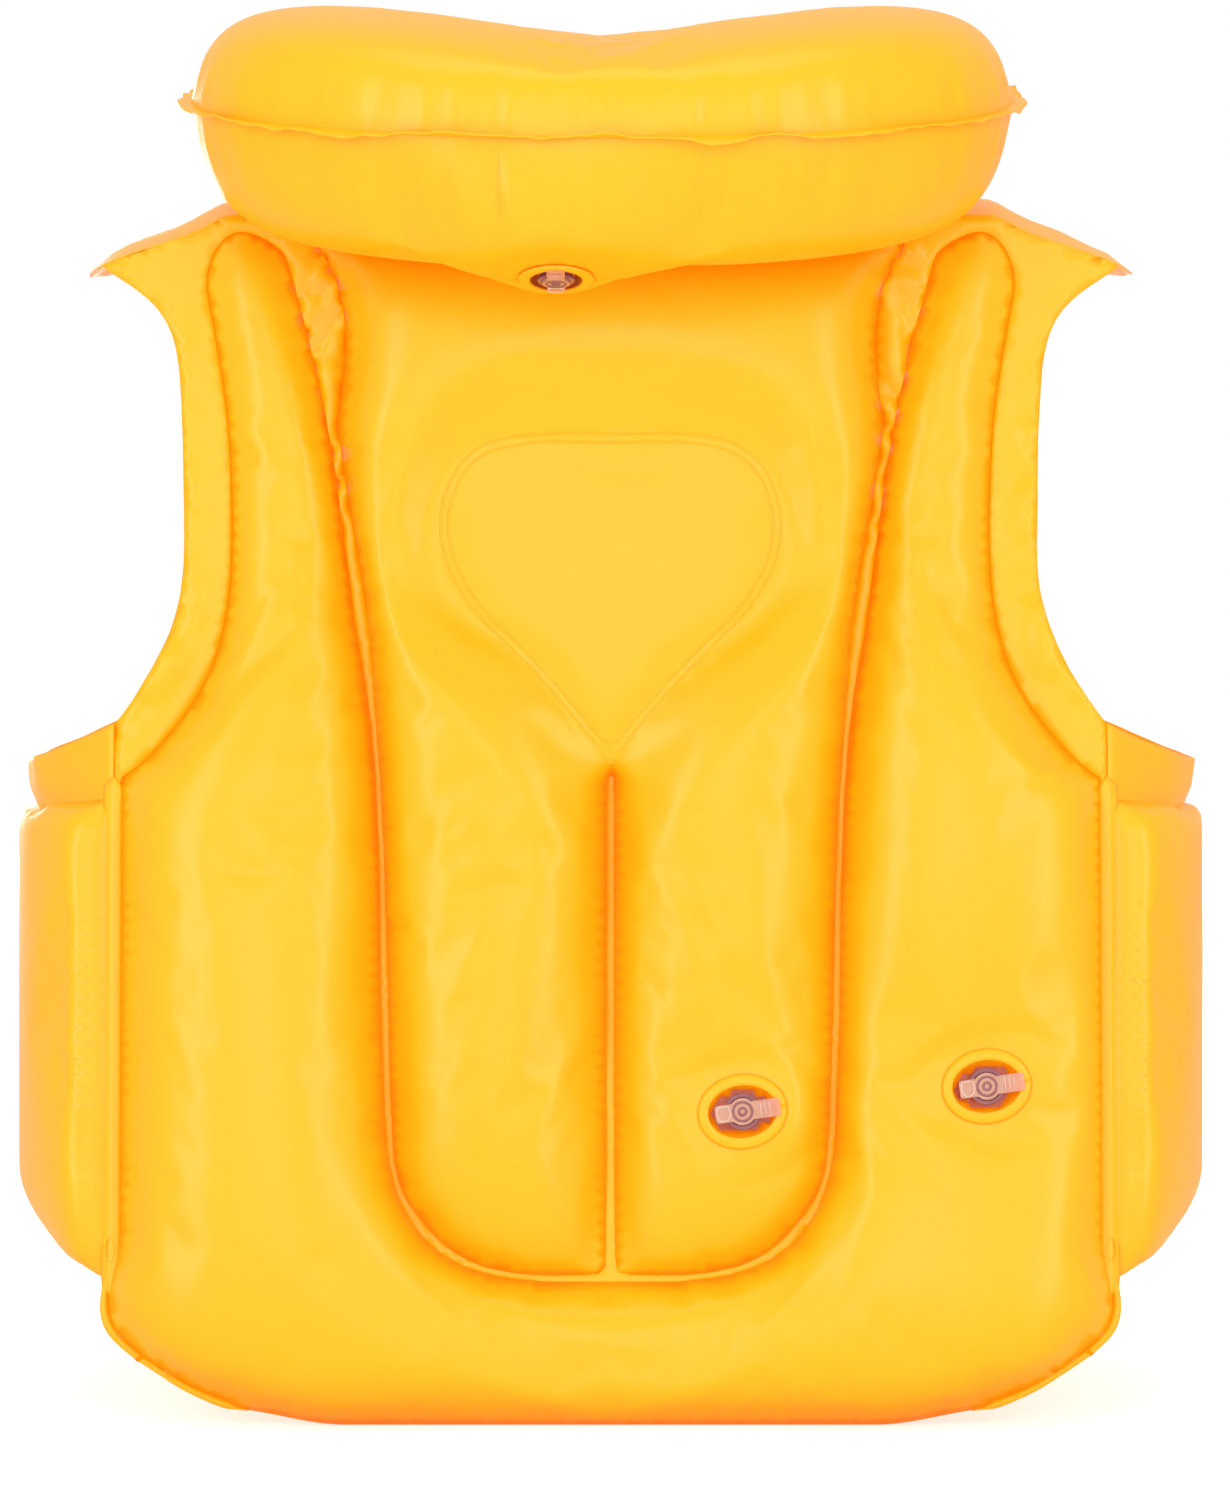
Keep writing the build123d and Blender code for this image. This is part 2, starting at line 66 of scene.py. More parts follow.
# Everything below is in metres, in the frame of the CAD model.
LEAN = math.radians(6.6)
TILT = math.radians(10.0)
MID_Y = 0.0271  # the middle of the body opening
HALF_DEPTH = 0.095  # from there to each panel's middle plane, at the floor
SURFACE = 0.018  # how far a panel's valve seats stand out of its middle plane
TURN = math.radians(8.0)  # by which a panel valve's cap rises towards its tab
SPACING = 0.0032  # size of the triangles on inflated film
FOLD_OUT = 0.0035  # how far blown-up film pushes the fold welds out
CORNER_OUT, CORNER_UP = 0.009, 0.006  # and the lower corners out and up
SHOULDER_LIFT = 0.012  # and the shoulders up
SHOULDER_FLARE = 0.012  # and their outer corners out
FOLD_X, FRONT_FOLD_X = 0.179, 0.1768


def smoothstep(a, b, x):
    t = np.clip((x - a) / (b - a), 0, 1)
    return t * t * (3 - 2 * t)


def flare_at(u, v):
    """How far a shoulder's outer corner flares out at a place on a panel."""
    return SHOULDER_FLARE * smoothstep(0.148, 0.172, np.abs(u)) * smoothstep(0.370, 0.408, v)


class Sheet:
    """A leaning plane that film is laid out on: u across, v up, n out of the chamber."""

    def __init__(self, origin, u, v, n, panel=None):
        self.o, self.u, self.v, self.n = (np.array(a, float) for a in (origin, u, v, n))
        self.panel = panel  # (how far its folds move out, height where its corners stop moving out)

    def at(self, uv, depth):
        if self.panel:
            uv = uv.copy()
            wide = smoothstep(0.150, 0.172, np.abs(uv[:, 0])) * (1 - smoothstep(0.25, 0.30, uv[:, 1]))
            fold_out, corner_top = self.panel
            corner = smoothstep(0.10, 0.15, np.abs(uv[:, 0])) * (1 - smoothstep(corner_top - 0.038, corner_top, uv[:, 1]))
            uv[:, 0] += np.sign(uv[:, 0]) * (fold_out * wide + CORNER_OUT * corner + flare_at(uv[:, 0], uv[:, 1]))
            foot = smoothstep(0.095, 0.14, np.abs(uv[:, 0])) * (1 - smoothstep(0.0, 0.035, uv[:, 1]))
            uv[:, 1] += CORNER_UP * foot + SHOULDER_LIFT * smoothstep(0.31, 0.42, uv[:, 1])
        return self.o + uv[:, :1] * self.u + uv[:, 1:2] * self.v + np.reshape(depth, (-1, 1)) * self.n

    def uv(self, points):
        rel = np.asarray(points) - self.o
        return np.stack((rel @ self.u, rel @ self.v), axis=1)


sl, cl = math.sin(LEAN), math.cos(LEAN)
st, ct = math.sin(TILT), math.cos(TILT)
BACK = Sheet((0, MID_Y - HALF_DEPTH, 0), (1, 0, 0), (0, sl, cl), (0, -cl, sl), (FOLD_OUT, 0.068))
FRONT = Sheet((0, MID_Y + HALF_DEPTH, 0), (-1, 0, 0), (0, -sl, cl), (0, cl, sl), (0.0, 0.050))
COLLAR = Sheet((-0.003, MID_Y - 0.113, 0.466), (1, 0, 0), (0, ct, st), (0, -st, ct))


class Side:
    """The arc of film between the two fold welds of one side: u runs from back to front."""

    def __init__(self, sign, bulge):
        self.sign, self.bulge = sign, bulge

    def centre(self, uv):
        z = uv[:, 1]
        half = HALF_DEPTH - z * math.tan(LEAN)
        s = uv[:, 0]
        x = self.sign * (FOLD_X + (FRONT_FOLD_X - FOLD_X) * (s + 1) / 2 + self.bulge * smoothstep(0.03, 0.085, z) * (1 - s ** 2))
        return np.stack((x, MID_Y + s * half, z), axis=1)

    def at(self, uv, depth):
        step = np.array([[1e-3, 0]])
        tangent = self.centre(uv + step) - self.centre(uv - step)
        n = np.stack((tangent[:, 1], -tangent[:, 0], 0 * tangent[:, 0]), axis=1) * self.sign
        n /= np.linalg.norm(n, axis=1, keepdims=True)
        return self.centre(uv) + np.reshape(depth, (-1, 1)) * n


# ---------------------------------------------------------------- outlines and triangles
def slice_loops(node, sheet, depth=0.0):
    """Closed outlines, in the sheet's (u, v), where a plane cuts a CAD node."""
    bm = bmesh.new()
    bm.from_mesh(NODES[node].data)
    bmesh.ops.remove_doubles(bm, verts=bm.verts[:], dist=2e-6)
    bmesh.ops.bisect_plane(
        bm,
        geom=bm.verts[:] + bm.edges[:] + bm.faces[:],
        plane_co=Vector(sheet.o + sheet.n * depth),
        plane_no=Vector(sheet.n),
        clear_inner=True,
        clear_outer=True,
    )
    bmesh.ops.remove_doubles(bm, verts=bm.verts[:], dist=2e-5)
    todo = {e for e in bm.edges}
    loops = []
    while todo:
        edge = todo.pop()
        chain = [edge.verts[0], edge.verts[1]]
        while True:
            step = next((e for e in chain[-1].link_edges if e in todo), None)
            if step is None:
                break
            todo.discard(step)
            chain.append(step.other_vert(chain[-1]))
        if len(chain) > 8:
            loops.append(sheet.uv([v.co[:] for v in chain[:-1]]))
    bm.free()
    return sorted(loops, key=lambda a: -np.ptp(a[:, 0]) * np.ptp(a[:, 1]))


def resample(loop, spacing):
    """Evenly spaced points along a closed outline."""
    closed = np.vstack((loop, loop[:1]))
    along = np.concatenate(([0], np.cumsum(np.linalg.norm(np.diff(closed, axis=0), axis=1))))
    count = max(8, int(round(along[-1] / spacing)))
    t = np.linspace(0, along[-1], count, endpoint=False)
    return np.stack((np.interp(t, along, closed[:, 0]), np.interp(t, along, closed[:, 1])), axis=1)


def inside(points, loops):
    """Even-odd test of points against outlines."""
    hit = np.zeros(len(points), bool)
    for loop in loops:
        a, b = loop, np.roll(loop, -1, axis=0)
        for k in range(0, len(points), 4000):
            p = points[k : k + 4000]
            y = p[:, 1:2]
            cross = (a[:, 1] > y) != (b[:, 1] > y)
            with np.errstate(divide="ignore", invalid="ignore"):
                x = a[:, 0] + (y - a[:, 1]) * (b[:, 0] - a[:, 0]) / (b[:, 1] - a[:, 1])
            hit[k : k + 4000] ^= (cross & (p[:, :1] < x)).sum(axis=1) % 2 == 1
    return hit


def distance(points, loops):
    """Distance from each point to the nearest outline."""
    best = np.full(len(points), 1e9)
    for loop in loops:
        a, d = loop, np.roll(loop, -1, axis=0) - loop
        length = (d ** 2).sum(axis=1) + 1e-18
        for k in range(0, len(points), 2000):
            rel = points[k : k + 2000, None] - a[None]
            t = np.clip((rel * d).sum(axis=2) / length, 0, 1)
            gap = np.linalg.norm(rel - t[..., None] * d, axis=2).min(axis=1)
            best[k : k + 2000] = np.minimum(best[k : k + 2000], gap)
    return best


def triangulate(loops, spacing, extra=()):
    """Even triangles over the area between outlines; extra outlines are followed by edges."""
    rings = [resample(a, spacing * 0.6) for a in loops]
    marks = [resample(a, spacing * 0.6) for a in extra]
    every = np.vstack(rings)
    lo, hi = every.min(axis=0), every.max(axis=0)
    rows = int((hi[1] - lo[1]) / (spacing * 0.866)) + 2
    cols = int((hi[0] - lo[0]) / spacing) + 2
    grid_y, grid_x = np.mgrid[0:rows, 0:cols].astype(float)
    grid = np.stack((lo[0] + (grid_x + 0.5 * (grid_y % 2)) * spacing, lo[1] + grid_y * spacing * 0.866), axis=2)
    grid = grid.reshape(-1, 2)
    grid = grid[inside(grid, rings)]
    grid = grid[distance(grid, rings) > spacing * 0.55]
    if marks:
        grid = grid[distance(grid, marks) > spacing * 0.35]
    points, edges = [], []
    for ring in rings + marks:
        first = len(points)
        points += list(ring)
        edges += [(first + i, first + (i + 1) % len(ring)) for i in range(len(ring))]
    rim = sum(len(r) for r in rings)
    points += list(grid)
    out = delaunay_2d_cdt([Vector(p) for p in points], edges, [], 0, 1e-7)
    uv = np.array([v[:] for v in out[0]])
    tris = np.array([f for f in out[2] if len(f) == 3])
    keep = inside(uv[tris].mean(axis=1), rings)
    tris = tris[keep]
    area = np.cross(uv[tris[:, 1]] - uv[tris[:, 0]], uv[tris[:, 2]] - uv[tris[:, 0]])
    tris[area < 0] = tris[area < 0][:, ::-1]
    on_rim = np.zeros(len(uv), bool)
    place = {}
    for i, source in enumerate(out[3]):
        on_rim[i] = any(s < rim for s in source)
        place.update({s: i for s in source})
    first, lines = rim, []
    for ring in marks:
        lines.append([place[first + i] for i in range(len(ring))])
        first += len(ring)
    return uv, tris, on_rim, rings, lines


def swell(uv, tris, fixed, spacing):
    """Solves for r, the local radius of a bag welded where it is fixed: a strip gives a circle."""
    pairs = np.sort(np.vstack((tris[:, :2], tris[:, 1:], tris[:, ::2])), axis=1)
    pairs = np.unique(pairs, axis=0)
    a, b = pairs.T
    n = len(uv)
    degree = np.bincount(a, minlength=n) + np.bincount(b, minlength=n)
    free = ~fixed

    def apply(x):
        y = degree * x - np.bincount(a, weights=x[b], minlength=n) - np.bincount(b, weights=x[a], minlength=n)
        return y * free

    rhs = np.full(n, 3 * spacing ** 2) * free
    x = np.zeros(n)
    r = rhs.copy()
    p = r.copy()
    rr = r @ r
    for _ in range(900):
        q = apply(p)
        step = rr / (p @ q)
        x += step * p
        r -= step * q
        new = r @ r
        if new < 1e-12 * (rhs @ rhs):
            break
        p = r + (new / rr) * p
        rr = new
    return np.sqrt(np.maximum(x, 0))


def make_object(name, points, faces, crown=None, smooth=True):
    mesh = bpy.data.meshes.new(name)
    mesh.from_pydata([tuple(p) for p in points], [], [tuple(int(i) for i in f) for f in faces])
    mesh.validate()
    if smooth:
        mesh.polygons.foreach_set("use_smooth", [True] * len(mesh.polygons))
    if crown is not None and len(crown) == len(mesh.vertices):
        mesh.attributes.new("crown", "FLOAT", "POINT").data.foreach_set("value", np.asarray(crown, np.float32))
    obj = bpy.data.objects.new(name, mesh)
    bpy.context.scene.collection.objects.link(obj)
    return obj


def fuzz(points, scale, seed):
    """Smooth noise between about -1 and 1 at each point; scale is the size of its waves."""
    offset = Vector((seed * 7.31, seed * 3.17, seed * 1.93))
    return np.array([noise.noise(Vector(p) / scale + offset) for p in points]) * 1.8


# ---------------------------------------------------------------- inflated chambers
SIMS = []
LINES = {}
PATCH_DEPTH = 0.5  # how high the shield's welded patch stands, as a share of the bag round it


TURNS = np.linspace(0, 2 * math.pi, 49)[:-1, None]
drop = math.radians(74)
down = np.array((0, -math.cos(drop), -math.sin(drop)))
up_seam = np.array((0, -math.sin(drop), math.cos(drop)))
COLLAR_VALVE = (np.array((-0.019, MID_Y - 0.113, 0.466)) + down * 0.0595, up_seam, np.cross(down, up_seam), down)


def ellipse(u, v, a, b, count=64):
    t = np.linspace(0, 2 * math.pi, count, endpoint=False)
    x, y = a * np.cos(t), b * np.sin(t)
    return np.stack((u + x * math.cos(TURN) - y * math.sin(TURN), v + x * math.sin(TURN) + y * math.cos(TURN)), axis=1)


def bulge(r, gain, top, edge=0.018):
    """Height of film over a bag of local radius r: an arc that leaves its weld at an angle."""
    return top * np.tanh(gain * (np.sqrt(edge ** 2 + r ** 2) - edge) / top)


def puff(name, sheet, loops, gain=1.15, top=0.03, inner=0.85, valve=None, spacing=SPACING, metric=(1, 1), grow=0.006, low_top=None, edge=0.010, patch=(), dip=0.0, low_valve=None):
    """An inflated bag between two sheets of film welded along its outlines."""
    metric = np.array(metric, float)
    flat = [a * metric for a in loops]
    extra = []
    if valve:
        extra = [ellipse(*valve, a, b) for a, b in ((0.0158, 0.0131), (0.0124, 0.0094))]
    if low_valve:
        extra = [sheet.uv(low_valve[0] + a * np.cos(TURNS) * low_valve[1] + b * np.sin(TURNS) * low_valve[2]) for a, b in ((0.0160, 0.0133), (0.0122, 0.0093))]
    uv, tris, rim, rings, lines = triangulate(flat, spacing, list(patch) + extra)
    r = swell(uv, tris, rim, spacing)
    h = bulge(r, gain, top, edge)
    if patch:
        gap = distance(uv, patch[:1]) * np.where(inside(uv, patch[:1]), -1, 1)
        h *= PATCH_DEPTH + (1 - PATCH_DEPTH) * smoothstep(-0.004, 0.034, gap)
    out = h * (1 - dip * np.exp(-((uv[:, 0] / 0.060) ** 2)))
    low = -h * inner if low_top is None else -bulge(r, gain * low_top / top, low_top, edge)
    pinned_out = np.zeros(len(uv), bool)
    if valve:
        du, dv = uv[:, 0] - valve[0], uv[:, 1] - valve[1]
        du, dv = du * math.cos(TURN) + dv * math.sin(TURN), dv * math.cos(TURN) - du * math.sin(TURN)
        gap = np.hypot(du / 1.21, dv)
        seat = SURFACE - 0.0002
        crown = out[np.argmin(gap)]
        out *= 1 - (1 - seat / crown) * np.exp(-((gap / 0.055) ** 2))
        near = smoothstep(0.0140, 0.026, gap)
        out = seat * (1 - near) + out * near
        cup = np.hypot(du / 0.0124, dv / 0.0094)
        out = np.where(cup < 0.995, seat - 0.0105, out)
        pinned_out = gap < 0.0145
    uv = uv / metric
    n = len(uv)
    index = np.full(n, -1)
    index[~rim] = n + np.arange((~rim).sum())
    index[rim] = np.nonzero(rim)[0]
    points = np.vstack((sheet.at(uv, out), sheet.at(uv[~rim], low[~rim])))
    pinned_low = np.zeros(len(points), bool)
    if low_valve:
        centre, e1, e2, axis = low_valve
        rel = points - centre
        x, y, z = rel @ e1, rel @ e2, rel @ axis
        gap = np.hypot(x / 1.21, y)
        under = (np.arange(len(points)) >= n) * smoothstep(-0.040, -0.028, z)
        reach = 0.028 + 0.030 * smoothstep(-0.012, 0.012, x)
        near = smoothstep(0, 1, (gap - 0.0140) / (reach - 0.0140))
        want = -0.0003 * (1 - near) + z * near
        want = np.where(np.hypot(x / 0.0122, y / 0.0093) < 0.995, -0.0105, want)
        points += ((want - z) * under * (near < 1))[:, None] * axis
        pinned_low = (under > 0.5) & (gap < 0.0145)
    faces = np.vstack((tris, index[tris][:, ::-1]))
    a, b, c = points[tris[len(tris) // 2]]
    facing = np.cross(b - a, c - a) @ (sheet.at(uv[:1], [1.0]) - sheet.at(uv[:1], [0.0]))[0]
    if facing < 0:
        faces = faces[:, ::-1]
    crown = np.concatenate((h, h[~rim])) / max(h.max(), 1e-6)
    obj = make_object(name, points, faces, crown)
    pins = np.concatenate((np.nonzero(rim | pinned_out)[0], np.nonzero(pinned_low)[0]))
    weld_zone = np.concatenate((smoothstep(0.0, 0.006, h), smoothstep(0.0, 0.006, h)[~rim]))
    SIMS.append((obj, pins, grow, weld_zone))
    LINES[name] = lines[: len(patch)]
    return obj, rings


def simulate(frames=16, pressure=3.0, cap=0.004):
    """Blows every chamber up as cloth that is a little too big for its welds, so it puckers."""
    jobs = []
    for obj, pins, grow, zone in SIMS:
        group = obj.vertex_groups.new(name="weld")
        group.add([int(i) for i in pins], 1.0, "REPLACE")
        cloth = obj.modifiers.new("Cloth", "CLOTH")
        s = cloth.settings
        s.quality = 5
        s.mass = 0.2
        s.air_damping = 3.0
        s.tension_stiffness = s.compression_stiffness = 18
        s.shear_stiffness = 8
        s.bending_stiffness = 1.2
        s.use_pressure = True
        s.uniform_pressure_force = pressure
        s.shrink_min = -grow
        s.vertex_group_mass = "weld"
        s.effector_weights.gravity = 0
        cloth.collision_settings.use_collision = False
        cloth.collision_settings.use_self_collision = False
        cloth.point_cache.frame_start, cloth.point_cache.frame_end = 1, frames
        rest = np.empty(len(obj.data.vertices) * 3, np.float32)
        obj.data.vertices.foreach_get("co", rest)
        jobs.append((obj, cloth, rest.reshape(-1, 3)))
    for number in range(1, frames + 1):
        bpy.context.scene.frame_set(number)
    graph = bpy.context.evaluated_depsgraph_get()
    for obj, cloth, rest in jobs:
        data = obj.evaluated_get(graph).data
        moved = np.empty(len(rest) * 3, np.float32)
        data.vertices.foreach_get("co", moved)
        move = moved.reshape(-1, 3) - rest
        length = np.linalg.norm(move, axis=1, keepdims=True) + 1e-9
        print("cloth", obj.name, "mean mm", round(float(length.mean()) * 1000, 2), "max", round(float(length.max()) * 1000, 2))
        move = np.where(np.isfinite(move), move, 0)
        burst = not np.isfinite(length).all() or float(np.median(length)) > 0.0035
        move *= 0 if burst else cap * np.tanh(length / cap) / length
        obj.modifiers.remove(cloth)
        obj.data.vertices.foreach_set("co", (rest + move).ravel())
        obj.data.update()
    bpy.context.scene.frame_set(1)


def keep_above_floor(obj, low=0.0003):
    """Flattens film that would sink into the floor."""
    places = np.empty(len(obj.data.vertices) * 3, np.float32)
    obj.data.vertices.foreach_get("co", places)
    places[2::3] = np.maximum(places[2::3], low)
    obj.data.vertices.foreach_set("co", places)
    obj.data.update()


def floor_loop(loops, start=0.0025, drop=0.0014):
    """Brings an outline that was cut level just above the floor down to it."""
    for a in loops:
        a[:, 1] = np.where(a[:, 1] < start, a[:, 1] - drop, a[:, 1])
    return loops


tube_loops = floor_loop(slice_loops("back_outer_chamber", BACK, -0.015))
shield_loops = slice_loops("back_shield_chamber", BACK, -0.015)
front_loops = floor_loop(slice_loops("left_front_chamber", FRONT, -0.015))
right_loops = floor_loop(slice_loops("right_front_chamber", FRONT, -0.015))
collar_loops = slice_loops("collar_pillow", COLLAR, 0.0)
print("loops", len(tube_loops), len(shield_loops), len(front_loops), len(right_loops), len(collar_loops))
print([round(float(np.ptp(a[:, 0])), 3) for a in shield_loops + front_loops + collar_loops])



def rounded(points, times=3):
    """Cuts the corners of an open line of points."""
    points = np.array(points, float)
    for _ in range(times):
        a, b = points[:-1], points[1:]
        cut = np.stack((0.75 * a + 0.25 * b, 0.25 * a + 0.75 * b), axis=1).reshape(-1, 2)
        points = np.vstack((points[:1], cut[1:-1], points[-1:]))
    return points


def outward(ring):
    """Unit vectors that point out of a closed outline."""
    tangent = np.roll(ring, -1, axis=0) - np.roll(ring, 1, axis=0)
    tangent /= np.linalg.norm(tangent, axis=1, keepdims=True) + 1e-12
    area = np.sum(ring[:, 0] * np.roll(ring[:, 1], -1) - np.roll(ring[:, 0], -1) * ring[:, 1])
    return np.stack((tangent[:, 1], -tangent[:, 0]), axis=1) * (1 if area > 0 else -1)


# The shield's patch is a guitar-pick shape; a straight weld runs from its tip to the shield's foot.
half = rounded([(0, 0.3515), (0.030, 0.3515), (0.050, 0.347), (0.0605, 0.332), (0.0615, 0.314), (0.052, 0.294), (0.032, 0.274), (0.0145, 0.2545), (0.0045, 0.2425), (0, 0.2352)])
pick = np.vstack((half, half[-2:0:-1] * (-1, 1)))
pick_inner = pick - outward(pick) * 0.0028
pick_inner = pick_inner[(pick_inner[:, 1] > 0.2435) | (np.abs(pick_inner[:, 0]) > 0.002)]
SLIT, SLIT_TOP = 0.0011, 0.2325
whole = shield_loops[0]
centre_part = (np.abs(whole[:, 0]) < 0.0045) & (whole[:, 1] > 0.0556) & (whole[:, 1] < 0.37)
centre_part |= (np.abs(whole[:, 0]) < 0.068) & (whole[:, 1] > 0.2) & (whole[:, 1] < 0.37)
rim_part = resample(whole, 0.001)
mask = (np.abs(rim_part[:, 0]) < 0.0045) & (rim_part[:, 1] > 0.0556) & (rim_part[:, 1] < 0.37)
mask |= (np.abs(rim_part[:, 0]) < 0.068) & (rim_part[:, 1] > 0.2) & (rim_part[:, 1] < 0.37)
first = int(np.nonzero(mask & ~np.roll(mask, -1))[0][0]) + 1
rim_part, mask = np.roll(rim_part, -first, axis=0), np.roll(mask, -first)
rim_part = rim_part[~mask]
rim_part += outward(rim_part) * 0.0016 * (1 - smoothstep(0.25, 0.30, rim_part[:, 1:]))
end = np.sign(rim_part[-1, 0])
foot_v = rim_part[-1, 1]
slit = np.array([(end * SLIT, v) for v in np.linspace(foot_v, SLIT_TOP, 120)] + [(-end * SLIT, v) for v in np.linspace(SLIT_TOP, foot_v, 120)])
shield_outline = np.vstack((rim_part[:-3], slit, rim_part[:3][:0]))
tube_outline = resample(tube_loops[0], 0.001)
beside = (1 - smoothstep(0.112, 0.125, np.abs(tube_outline[:, 0]))) * (1 - smoothstep(0.25, 0.30, tube_outline[:, 1])) * (tube_outline[:, 1] > 0.03)
tube_outline += outward(tube_outline) * 0.0016 * beside[:, None]

tube, tube_rings = puff("back_tube_film", BACK, [tube_outline], valve=(0.134, 0.121))
shield, shield_rings = puff("back_shield_film", BACK, [shield_outline], gain=1.1, top=0.028, valve=(0.047, 0.112), patch=(pick, pick_inner))
left_front, left_rings = puff("left_front_film", FRONT, front_loops, top=0.026)
right_front, right_rings = puff("right_front_film", FRONT, right_loops, top=0.026)
collar, collar_rings = puff("collar_film", COLLAR, collar_loops[:1], gain=1.3, top=0.039, low_top=0.055, edge=0.006, grow=0.012, dip=0.25, low_valve=COLLAR_VALVE)
SIDE_OUTLINE = np.array([(-1, 0.05), (-0.75, 0.052), (-0.5, 0.058), (0, 0.064), (0.5, 0.058), (0.75, 0.052), (1, 0.05), (1, 0.224), (0.75, 0.222), (0.5, 0.2205), (0, 0.2195), (-0.5, 0.2205), (-0.75, 0.222), (-1, 0.224)])
left_side, _ = puff("left_side_film", Side(-1, 0.0255), [SIDE_OUTLINE], gain=1.5, top=0.0145, edge=0.003, inner=1.0, metric=(0.085, 1))
right_side, _ = puff("right_side_film", Side(1, 0.0255), [SIDE_OUTLINE], gain=1.5, top=0.0145, edge=0.003, inner=1.0, metric=(0.085, 1))
simulate()

for piece, body, node in (
    (tube, "back", "back_outer_chamber"),
    (shield, "back", "back_shield_chamber"),
    (left_front, "left_front", "left_front_chamber"),
    (right_front, "right_front", "right_front_chamber"),
    (collar, "collar", "collar_pillow"),
    (left_side, "back", "left_side_chamber"),
    (right_side, "back", "right_side_chamber"),
):
    keep_above_floor(piece)
    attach(piece, body)
    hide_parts(node)


# ---------------------------------------------------------------- welded film
def bead(name, obj, line, radius=0.0004):
    """The fine raised line that a welding bar leaves, laid along vertices of inflated film."""
    points = np.array([obj.data.vertices[i].co[:] for i in line])
    for _ in range(2):
        points = 0.5 * points + 0.25 * (np.roll(points, 1, axis=0) + np.roll(points, -1, axis=0))
    along = np.roll(points, -1, axis=0) - np.roll(points, 1, axis=0)
    along /= np.linalg.norm(along, axis=1, keepdims=True)
    across = np.cross(along, BACK.n)
    across /= np.linalg.norm(across, axis=1, keepdims=True)
    rows = []
    for angle in np.linspace(0, 2 * math.pi, 7)[:-1]:
        rows.append(points + across * radius * math.cos(angle) + BACK.n * radius * math.sin(angle))
    count = len(points)
    faces = [(k * count + i, k * count + (i + 1) % count, ((k + 1) % 6) * count + (i + 1) % count, ((k + 1) % 6) * count + i) for k in range(6) for i in range(count)]
    return make_object(name, np.vstack(rows), faces, np.zeros(6 * count))


def web(name, node, sheet, welds, wave=0.0022, seed=0, spacing=0.003):
    """A flat double layer of film, taut at its welds and wavy at its free edges."""
    loops = slice_loops(node, sheet)
    uv, tris, rim, rings, _ = triangulate(loops, spacing)
    away = distance(uv, welds)
    points = sheet.at(uv, np.zeros(len(uv)))
    free = smoothstep(0.004, 0.014, away) * (1 - smoothstep(0.380, 0.400, uv[:, 1]) * (np.abs(uv[:, 0]) > 0.105))
    pick = np.zeros(len(uv), bool)
    if len(loops) > 0 and node == "back_web":
        pick = (np.abs(uv[:, 0]) < 0.066) & (uv[:, 1] > 0.05) & (uv[:, 1] < 0.36)
        free = np.where(pick, 0, free)
    d = free * wave * (fuzz(points, 0.022, seed) + 0.35 * fuzz(points, 0.008, seed + 3))
    gusset = smoothstep(0.078, 0.088, np.abs(uv[:, 0])) * (1 - smoothstep(0.110, 0.116, np.abs(uv[:, 0])))
    gusset *= smoothstep(0.30, 0.34, uv[:, 1])
    slant = np.abs(uv[:, 0]) * 0.92 + uv[:, 1] * 0.40 + 0.004 * fuzz(points, 0.03, seed + 4)
    d += gusset * (0.0019 * np.sin(slant * 2 * math.pi / 0.0085) + 0.0008 * fuzz(points, 0.006, seed + 5))
    d = np.where(sheet.at(uv, np.zeros(len(uv)))[:, 2] < 0.004, 0, d)
    obj = make_object(name, sheet.at(uv, d), tris if sheet is not FRONT else tris, np.zeros(len(uv)))
    thick = obj.modifiers.new("two layers", "SOLIDIFY")
    thick.thickness = 0.0007
    thick.offset = 0
    return obj, rings


WEBS = []
back_welds = tube_rings + shield_rings
back_film, back_rings = web("back_web_film", "back_web", BACK, back_welds, seed=11)
WEBS.append((back_film, "back", "back_web"))
for side, rings in (("left", left_rings), ("right", right_rings)):
    film, _ = web(f"{side}_front_web_film", f"{side}_front_web", FRONT, rings, seed=13)
    WEBS.append((film, f"{side}_front", f"{side}_front_web"))
for film, body, node in WEBS:
    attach(film, body)
    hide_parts(node)
beads = [(bead(f"patch_weld_line_{i}", shield, line), "back") for i, line in enumerate(LINES["back_shield_film"])]
for obj, body in beads:
    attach(obj, body)


def grid_object(name, rows, thickness=0.0007):
    """A sheet through a grid of points."""
    rows = np.array(rows)
    h, w = rows.shape[:2]
    faces = [(r * w + c, r * w + c + 1, (r + 1) * w + c + 1, (r + 1) * w + c) for r in range(h - 1) for c in range(w - 1)]
    obj = make_object(name, rows.reshape(-1, 3), faces, np.zeros(h * w))
    thick = obj.modifiers.new("two layers", "SOLIDIFY")
    thick.thickness = thickness
    thick.offset = 0
    return obj


def underarm(side):
    """The flange above a side chamber, an arc from the back fold to the front fold."""
    sign = -1 if side == "left" else 1
    arc = Side(sign, 0.0365)
    rows = []
    for t in np.linspace(0, 1, 14):
        s = np.linspace(-1, 1, 61)
        z_top = 0.2345 + 0.0155 * np.abs(s) ** 2.2
        z_foot = 0.2145 + 0.004 * np.abs(s)
        z = z_foot + (z_top - z_foot) * t
        uv = np.stack((s, z), axis=1)
        base = arc.centre(uv)
        narrow = Side(sign, 0.0335).centre(uv)
        mix = smoothstep(0.0, 0.55, np.full(len(s), t))[:, None]
        p = narrow * (1 - mix) + base * mix
        ripple = 0.0014 * t * (1 - s ** 4) * fuzz(p, 0.02, 21 + sign)
        rows.append(arc.at(uv, ripple) - base + p)
    return grid_object(f"{side}_underarm_film", rows)


